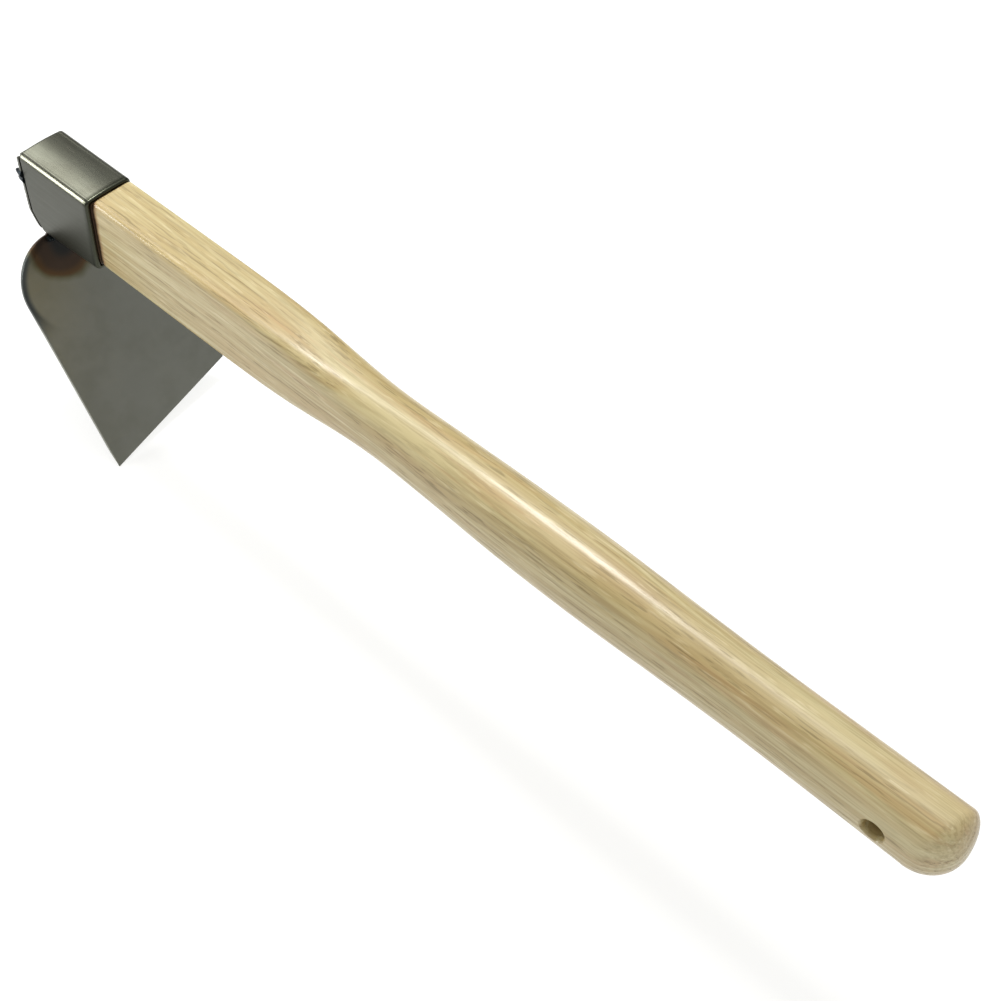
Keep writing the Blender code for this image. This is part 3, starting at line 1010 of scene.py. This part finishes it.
        return np.stack((place[..., 0], plan[..., 0], place[..., 1]), axis=-1)

    def build(self, finish: bpy.types.Material) -> None:
        """Makes the blade and puts it in place."""
        hand_in(loft("bent_blade", self.rings(), Cap.FACE, Cap.FACE, 30), finish, "blade")


@dataclass
class Handle:
    """The one-piece handle: tenon, shoulder, squared block, neck, oval grip, rounded butt and hanging hole."""

    site: Site
    sheet: float = 0.0020
    gap: float = 0.0003
    tenon_square: float = 14.0
    shoulder: float = 0.0012            # rounding where the block meets the sleeve
    tenon_round: float = 0.6            # the tenon's end is rounded by this share of it
    dome: float = 0.0120                # mean length of the butt's rounding
    dome_skew: float = 0.0050           # longer at the lower left, shorter at the upper right
    dome_turn: float = math.radians(32)
    hole_distance: float = 0.4243
    hole_drop: float = 0.0025           # below the axis
    hole_radius: float = 0.0046
    hole_mouth: float = 0.0068
    hole_flare: float = 0.0026
    flare_past: tuple[float, float] = (1.25, 1.35)      # how far the flare's curve runs on, out and in radius
    cutter_past: float = 0.006          # how far the hole's cutter runs on past that
    kerf_past: float = 0.002            # how far the kerf's cutter stands out of the tenon
    kerf_tip: float = 0.5               # height of its inner end against its open end
    around: int = 144
    pitch: float = 0.0013               # between rings along the handle
    dome_rings: int = 26
    # distance from the mouth, width, height, squareness (2 is an ellipse), sideways set of the middle
    stations: tuple[tuple[float, ...], ...] = (
        (0.000, 0.0225, 0.0383, 12.0, 0.0012),
        (0.045, 0.0228, 0.0382, 12.0, 0.0013),
        (0.090, 0.0232, 0.0379, 10.5, 0.0014),
        (0.120, 0.0239, 0.0364, 6.5, 0.0014),
        (0.150, 0.0241, 0.0322, 3.6, 0.0014),
        (0.172, 0.0245, 0.0318, 2.6, 0.0014),
        (0.205, 0.0261, 0.0339, 2.4, 0.0012),
        (0.245, 0.0280, 0.0364, 2.4, 0.0006),
        (0.284, 0.0284, 0.0370, 2.4, 0.0004),
        (0.325, 0.0271, 0.0352, 2.4, 0.0003),
        (0.362, 0.0262, 0.0340, 2.4, 0.0002),
        (0.400, 0.0263, 0.0342, 2.4, -0.0001),
        (0.456, 0.0269, 0.0351, 2.4, -0.0007),
    )

    @property
    def length(self) -> float:
        """From the sleeve's mouth to the end of the butt."""
        return self.site.handle[1].x - self.site.mouth

    def sections(self) -> Array:
        """The sections from the tenon's end to the dome's start.

        The tenon and the shoulder round over: an inset of r * (1 - sin) falls to nothing over r * (1 - cos).

        Returns:
            Rows of x, width, height, squareness and set.
        """
        inset = 2 * (self.sheet + self.gap)
        tenon = np.array((2 * self.site.half - inset, self.site.mouth_height - inset, self.tenon_square, 0.0))
        quarter = np.linspace(0, math.pi / 2, 7)
        lost = 2 * self.shoulder * (1 - np.sin(quarter))[:, None]
        on = self.shoulder * (1 - np.cos(quarter))
        shoulder_x = self.site.mouth + self.gap
        shrink = np.array((1.0, 1.0, 0.0, 0.0))
        tenon_end = tenon - lost * self.tenon_round * shrink
        grip_start = self.shoulder
        grip_end = self.length - self.dome - self.dome_skew
        run = np.linspace(grip_start, grip_end, round((grip_end - grip_start) / self.pitch))
        table = np.array(self.stations)
        block = through(table, on) - lost * shrink
        grip = through(table, run[1:])
        end_x = self.site.handle[0].x
        tenon_x = np.linspace(end_x + self.shoulder * self.tenon_round, shoulder_x, 14)[1:]
        x = np.concatenate((end_x + on * self.tenon_round, tenon_x, shoulder_x + on, shoulder_x + run[1:]))
        shape = np.concatenate((tenon_end, np.repeat(tenon[None], len(tenon_x), axis=0), block, grip))
        return np.concatenate((x[:, None], shape), axis=1)

    def rings(self) -> Array:
        """Superellipse rings along the axis, then the butt as a half ellipsoid.

        On the butt, at a lean from 0 to 90 degrees, the section is the grip's times cos(lean), and it lies back from
        the end by length * (1 - sin(lean)), where the length is the mean one less skew * cos(angle - turn).

        Returns:
            Rings of points, the last one short of the pole.
        """
        turn = 2 * math.pi * (np.arange(self.around) + 0.5) / self.around
        body = self.sections()
        width, height, square, middle = (body[:, k, None] for k in range(1, 5))
        y, z = superellipse(turn, width, height, square)
        x = np.repeat(body[:, :1], self.around, axis=1)
        straight = np.stack((x, y + middle, z + self.site.axis), axis=-1)
        grip_end = through(np.array(self.stations), np.array([self.length - self.dome]))[0]
        lean = np.linspace(0, math.pi / 2, self.dome_rings + 1)[:-1, None]
        end_width, end_height, end_square, end_set = grip_end
        y, z = superellipse(turn, end_width * np.cos(lean), end_height * np.cos(lean), end_square + 0 * lean)
        length = self.dome - self.dome_skew * np.cos(turn - self.dome_turn)
        x = self.site.handle[1].x - length * (1 - np.sin(lean))
        butt = np.stack((x, y + end_set, z + self.site.axis), axis=-1)
        return np.concatenate((straight, butt))

    def hole_cutter(self) -> bpy.types.Object:
        """A turned plug across the handle, straight in its middle and flaring as a quarter ellipse to each side.

        Returns:
            The closed cutter.
        """
        width, _, _, middle = through(np.array(self.stations), np.array([self.hole_distance]))[0]
        flare = np.linspace(0, math.pi / 2, 12)
        past_out, past_wide = self.flare_past
        out = width / 2 - self.hole_flare + self.hole_flare * past_out * np.sin(flare)
        wide = self.hole_radius + (self.hole_mouth - self.hole_radius) * past_wide * (1 - np.cos(flare))
        out = np.concatenate((out, out[-1:] + self.cutter_past))
        wide = np.concatenate((wide, wide[-1:]))
        across = np.concatenate((-out[::-1], out))
        radius = np.concatenate((wide[::-1], wide))[:, None]
        turn = 2 * math.pi * np.arange(72) / 72
        x = self.site.mouth + self.hole_distance + radius * np.cos(turn)
        z = self.site.axis - self.hole_drop + radius * np.sin(turn)
        y = np.repeat(middle + across[:, None], len(turn), axis=1)
        return loft("hole_cutter", np.stack((x, y, z), axis=-1), Cap.FACE, Cap.FACE)

    def kerf_cutter(self) -> bpy.types.Object:
        """The saw cut for the wedge: a tapering slot through both sides of the tenon, open at its end.

        Returns:
            The closed cutter.
        """
        low, high = self.site.wedge
        middle = (low.z + high.z) / 2
        rise = (high.z - low.z) / 2 + self.gap
        half = self.site.half
        rings = []
        for x, reach in ((low.x - self.kerf_past, rise), (high.x + self.gap, rise * self.kerf_tip)):
            under = middle - reach
            over = middle + reach
            rings.append(((x, -half, under), (x, half, under), (x, half, over), (x, -half, over)))
        return loft("kerf_cutter", np.array(rings), Cap.FACE, Cap.FACE)

    def build(self, finish: bpy.types.Material) -> None:
        """Makes the handle, cuts its hole and kerf, and puts it in place."""
        handle = loft("oak_handle", self.rings(), Cap.FACE, Cap.POINT, 38)
        carve(handle, [self.hole_cutter(), self.kerf_cutter()], 38)
        hand_in(handle, finish, "handle")


@dataclass
class Wedge:
    """The wooden wedge in the tenon's kerf."""

    site: Site
    tip: float = 0.0009
    squareness: float = 9.0
    steps: int = 16
    around: int = 64
    end_loss: float = 0.07              # share by which its two ends are smaller

    def rings(self) -> Array:
        """Squared superellipse sections whose height falls evenly from the head to the tip.

        Returns:
            Rings of points.
        """
        low, high = self.site.wedge
        x = np.linspace(low.x, high.x, self.steps)[:, None]
        share = (x - low.x) / (high.x - low.x)
        eased = np.minimum(1, 1 - self.end_loss + self.end_loss * np.minimum(share, 1 - share) * self.steps)
        height = ((high.z - low.z) * (1 - share) + self.tip * share) * eased
        width = (high.y - low.y) * eased
        turn = 2 * math.pi * (np.arange(self.around) + 0.5) / self.around
        y, z = superellipse(turn, width, height, np.full_like(x, self.squareness))
        middle = ((low.y + high.y) / 2, (low.z + high.z) / 2)
        return np.stack((np.repeat(x, self.around, axis=1), y + middle[0], z + middle[1]), axis=-1)

    def build(self, finish: bpy.types.Material) -> None:
        """Makes the wedge and puts it in place."""
        hand_in(loft("kerf_wedge", self.rings(), Cap.FACE, Cap.FACE), finish, "wedge")


@dataclass
class Beads:
    """The weld beads: one beside each edge of the tongue, one under the sleeve, one along its seam."""

    site: Site
    gap: float = 0.0003
    ripple: float = 0.0011              # between the solidified waves of a bead
    seam_depth: float = 0.0009
    side_size: float = 0.0024
    lump: float = 0.0060                # of the blob where each side bead was started
    # humps that make it up: share, metres below the bead's top, width
    blob: tuple[tuple[float, float, float], ...] = ((1.0, 0.0094, 0.0013), (0.60, 0.0128, 0.0013))
    nick: tuple[float, float, float] = (0.25, 0.0111, 0.0006)
    overhang: float = 0.0013            # of the blob past the sleeve's side
    fullness: tuple[float, float] = (0.25, 0.35)        # power of a section's sine, and what the blob adds
    side_taper: float = 0.0012          # metres over which each bead's ends shrink
    under_taper: float = 0.0020
    seam_taper: float = 0.0016
    under_shrink: float = 0.45          # how much smaller the fillet's ends are
    leg_share: float = 0.98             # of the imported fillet's legs
    belly: float = 1.20                 # of the fillet's curve against its chord
    seed: int = 7

    @staticmethod
    def hump(below: Array, share: float, middle: float, width: float) -> Array:
        """share * exp(-((below - middle) / width)^2).

        Args:
            below: Metres below the bead's top.
            share: Height of the hump.
            middle: Metres below the top of its middle.
            width: Metres over which it falls to 37%.

        Returns:
            The hump's height.
        """
        return share * np.exp(-(((below - middle) / width) ** 2))

    def waves(self, along: Array, bend: Array, depth: float, seed: int) -> Array:
        """A bead's waves: 1 - depth * |sin|^0.7 of the way along, bent back at the sides, with a slow random swell.

        Args:
            along: Metres along the bead, a column.
            bend: Share of the half width, a row.
            depth: Depth of a wave as a share of the bead.
            seed: Seed of the swell.

        Returns:
            Factors for the bead's size.
        """
        draw = np.random.default_rng(self.seed + seed)
        phase = draw.uniform(0, 2 * math.pi, 3)
        swell = sum(0.04 * np.sin(along * rate + p) for rate, p in zip((900, 1700, 3100), phase))
        wave = np.abs(np.sin(math.pi * (along / self.ripple + 0.45 * bend**2)))
        return 1 - depth * (1 - wave**0.7) + swell - 0.08

    def side_rings(self, node: str, sign: int) -> Array:
        """A bead on the ledge beside the tongue.

        At each height the section is a bump in front of the sleeve: size * sin(v)^fullness out of the front and a run
        from its inner to its outer edge. The size swells at the blob, which is two humps with a narrow third between
        them, and so does the fullness, which makes the ground stretches flat and the blob round.

        Args:
            node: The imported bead, whose box gives the ends.
            sign: -1 for the near side and 1 for the far side.

        Returns:
            Rings of points.
        """
        low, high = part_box(node)
        z = np.linspace(low.z, high.z, 150)[:, None]
        along = z - low.z
        inner = min(abs(low.y), abs(high.y))
        outer = self.site.half
        below = high.z - z
        blob = sum(self.hump(below, *row) for row in self.blob)
        swell = np.minimum(blob + self.hump(below, *self.nick), 1)
        taper = np.sqrt(np.clip(np.minimum(along, below) / self.side_taper, 0.02, 1))
        size = (self.side_size + (self.lump - self.side_size) * swell) * taper
        v = np.linspace(0, math.pi, 22)[None]
        share = v / math.pi
        rough = np.clip(0.25 + blob, 0, 1) * 0.20
        size = size * self.waves(along, 2 * share - 1, rough, 10 + sign)
        spread = (outer - inner) * share + np.minimum(blob, 1) * self.overhang * share**2
        fullness = self.fullness[0] + self.fullness[1] * np.minimum(blob, 1)
        x = self.site.front(z) - self.gap - size * np.sin(v) ** fullness
        y = sign * (inner + spread * (0.85 + 0.15 * taper))
        return np.stack((x, y, np.repeat(z, v.shape[1], axis=1)), axis=-1)

    def under_rings(self) -> Array:
        """The fillet between the sleeve's underside and the blade's back.

        Across Y, each section is a wedge of three sides: along the underside, along the blade, and a convex face from
        one leg's end to the other's, whose points are a quadratic curve. Its legs shrink and grow with the waves.

        Returns:
            Rings of points.
        """
        low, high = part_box("weld_under")
        y = np.linspace(low.y, high.y, 180)[:, None]
        edge = np.minimum(y - low.y, high.y - y)
        taper = 1 - self.under_shrink + self.under_shrink * np.sqrt(np.clip(edge / self.under_taper, 0, 1))
        t = np.linspace(0, 1, 14)[None]
        size = taper * self.waves(y - low.y, 2 * t - 1, 0.14, 3)
        start = np.array((low.x, high.z))
        lean = self.site.blade_lean
        down = np.array((math.sin(lean), -math.cos(lean)))
        leg_x = high.x - low.x
        leg_z = (high.z - low.z) / math.cos(lean)
        first = np.array((leg_x, 0.0)) * self.leg_share
        last = down * leg_z * self.leg_share
        belly = (first + last) / 2 * self.belly
        t_first = ((1 - t) ** 2)[..., None]
        t_belly = (2 * t * (1 - t))[..., None]
        t_last = (t**2)[..., None]
        curve = t_first * first + t_belly * belly + t_last * last
        face = start + curve * size[..., None]
        corner = np.broadcast_to(start, (len(y), 1, 2))
        section = np.concatenate((corner, face), axis=1)
        sides = np.repeat(y, section.shape[1], axis=1)
        return np.stack((section[..., 0], sides, section[..., 1]), axis=-1)

    def seam_rings(self) -> Array:
        """The flat bead that closes the seam: half round sections hanging from the sleeve's sloping underside.

        Returns:
            Rings of points.
        """
        low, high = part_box("seam_weld")
        x = np.linspace(low.x, high.x, 200)[:, None]
        edge = np.minimum(x - low.x, high.x - x)
        taper = np.sqrt(np.clip(edge / self.seam_taper, 0.03, 1))
        v = np.linspace(0, math.pi, 20)[None]
        size = taper * self.waves(x - low.x, 2 * v / math.pi - 1, 0.22, 5)
        y = -(high.y - low.y) / 2 * np.cos(v) * (0.4 + 0.6 * taper) * (0.94 + 0.06 * size)
        top = high.z + (low.z + self.seam_depth - high.z) * (high.x - x) / (high.x - low.x)
        z = top - self.seam_depth * np.sin(v) * size
        return np.stack((np.repeat(x, v.shape[1], axis=1), y, z), axis=-1)

    def build(self, finish: bpy.types.Material) -> None:
        """Makes the four beads and puts them in place."""
        made = (
            ("bead_near", self.side_rings("weld_left", -1), "weld_left"),
            ("bead_far", self.side_rings("weld_right", 1), "weld_right"),
            ("bead_under", self.under_rings(), "weld_under"),
            ("bead_seam", self.seam_rings(), "seam_weld"),
        )
        for name, rings, node in made:
            hand_in(loft(name, rings, Cap.FACE, Cap.FACE, 60), finish, node)


# ------------------------------------------------------------------ studio


@dataclass(frozen=True)
class Softbox:
    """A rectangular light that faces the tool."""

    name: str
    place: tuple[float, float, float]
    aim: tuple[float, float, float]
    size: tuple[float, float]
    radiance: float

    def build(self) -> None:
        """Makes the light. Its power is radiance * area * pi."""
        light = bpy.data.lights.new(self.name, "AREA")
        light.shape = "RECTANGLE"
        light.size, light.size_y = self.size
        light.energy = self.radiance * self.size[0] * self.size[1] * math.pi
        lamp = bpy.data.objects.new(self.name, light)
        lamp.location = self.place
        away = Vector(self.place) - Vector(self.aim)
        lamp.rotation_euler = away.to_track_quat("Z", "X").to_euler()
        lamp.visible_camera = False
        bpy.context.scene.collection.objects.link(lamp)


@dataclass
class Studio:
    """A self-lit pale floor, a pale surround that is brightest overhead, softboxes and the camera."""

    floor_size: float = 12.0
    floor_colour: Colour = shade(165, 165, 164)
    floor_glow: float = 1.76            # of the light table under the tool, by its colour
    horizon: float = 0.50               # radiances of the surround
    wall: float = 0.34
    zenith: float = 1.35
    floor_gap: float = 0.0004           # of the floor under the tool
    lens: float = 64.74
    eye: tuple[float, float, float] = (0.54675, -0.3402, 0.5319)
    right: tuple[float, float, float] = (0.7344, 0.6778, 0.0352)
    view: tuple[float, float, float] = (-0.4083, 0.4827, -0.7748)
    lights: tuple[Softbox, ...] = field(default_factory=lambda: (
        Softbox("overhead", (-0.10, 0.235, 1.00), (0.20, 0.235, 0.0), (0.29, 0.22), 38.0),
        Softbox("high_left", (-0.75, 0.25, 0.85), (0.0, 0.0, 0.0), (0.35, 0.35), 4.0),
        Softbox("low_left", (-0.20, -0.23, 0.095), (0.0, -0.01, -0.005), (0.24, 0.045), 20.0),
    ))

    def floor(self, lowest: float) -> None:
        """A plain pale floor that glows.

        Args:
            lowest: Z of the tool's lowest point.
        """
        height = lowest - self.floor_gap
        half = self.floor_size / 2
        corners = [(-half, -half, height), (half, -half, height), (half, half, height), (-half, half, height)]
        mesh = bpy.data.meshes.new("floor")
        mesh.from_pydata(corners, [], [(0, 1, 2, 3)])
        graph = Graph.of_material("floor_paper")
        white = (*self.floor_colour, 1.0)
        graph.set(Base_Color=white, Roughness=0.9, Specular_IOR_Level=0.1)
        graph.set(Emission_Color=white, Emission_Strength=self.floor_glow)
        mesh.materials.append(graph.owner)
        floor = bpy.data.objects.new("floor", mesh)
        bpy.context.scene.collection.objects.link(floor)

    def surround(self) -> None:
        """The light all round: pale at the horizon, dimmer above it and brightest overhead."""
        world = bpy.data.worlds.new("surround")
        bpy.context.scene.world = world
        graph = Graph(world, "Background", "Generated")
        _, _, up = graph.axes()
        band = up.rise(0.45, 0.20) * (self.horizon - self.wall)
        ceiling = up.rise(0.50, 1.00) * (self.zenith - self.wall)
        graph.set(Color=(1.0, 1.0, 1.0, 1.0), Strength=band + ceiling + self.wall)

    def camera(self) -> None:
        """The camera: its axes are the given right, the view's opposite, and the up that is square to both."""
        right = Vector(self.right).normalized()
        back = -Vector(self.view).normalized()
        up = back.cross(right).normalized()
        right = up.cross(back)
        data = bpy.data.cameras.new("camera")
        data.lens = self.lens
        data.clip_start = 0.01
        camera = bpy.data.objects.new("camera", data)
        camera.matrix_world = Matrix.Translation(self.eye) @ Matrix((right, up, back)).transposed().to_4x4()
        bpy.context.scene.collection.objects.link(camera)
        bpy.context.scene.camera = camera

    def build(self, lowest: float) -> None:
        """Makes the floor, the surround, the softboxes and the camera."""
        self.floor(lowest)
        self.surround()
        for light in self.lights:
            light.build()
        self.camera()
        bpy.context.scene.view_settings.view_transform = "Standard"


def main() -> None:
    """Builds the studio, the finishes and the pieces in order."""
    logging.basicConfig(level=logging.INFO, format="%(name)s: %(message)s")
    site = Site.read()
    blade = Blade(site)
    oak = Wood(
        "oak", shade(194, 182, 138), shade(172, 153, 104), shade(174, 140, 94), shade(112, 97, 58), 0.38, 0.4,
        stain_and_shade_start=site.mouth, stain_and_shade_reach=0.0026, stain_and_shade_side=-0.0098,
    )
    wedge_wood = Wood(
        "wedge_wood", shade(170, 138, 92), shade(150, 116, 74), shade(140, 100, 62), shade(86, 62, 38), 0.5,
    )
    folded = Steel(
        "steel_sleeve", shade(108, 109, 97), shade(101, 101, 89), 0.25, (30.0, 700.0, 700.0),
        lip=site.mouth, shaded_flank=site.half,
    )
    plate = Steel(
        "steel_blade", shade(140, 141, 132), shade(131, 132, 122), 0.34, (500.0, 60.0, 60.0),
        heat_middle=blade.on_back(-0.0070, 0.0192), heat_reach=0.0186,
        rim_middle=blade.on_back(blade.shoulder + site.blade[0].y, blade.drop + blade.shoulder),
        rim_radius=blade.shoulder,
    )
    weld = Weld("weld_metal", shade(44, 50, 54), shade(92, 98, 100), shade(92, 93, 84))
    Sleeve(site).build(folded.material())
    blade.build(plate.material())
    Handle(site).build(oak.material())
    Wedge(site).build(wedge_wood.material())
    Beads(site).build(weld.material())
    Studio().build(CAD_BOX[0].z)


if __name__ == "__main__":
    main()
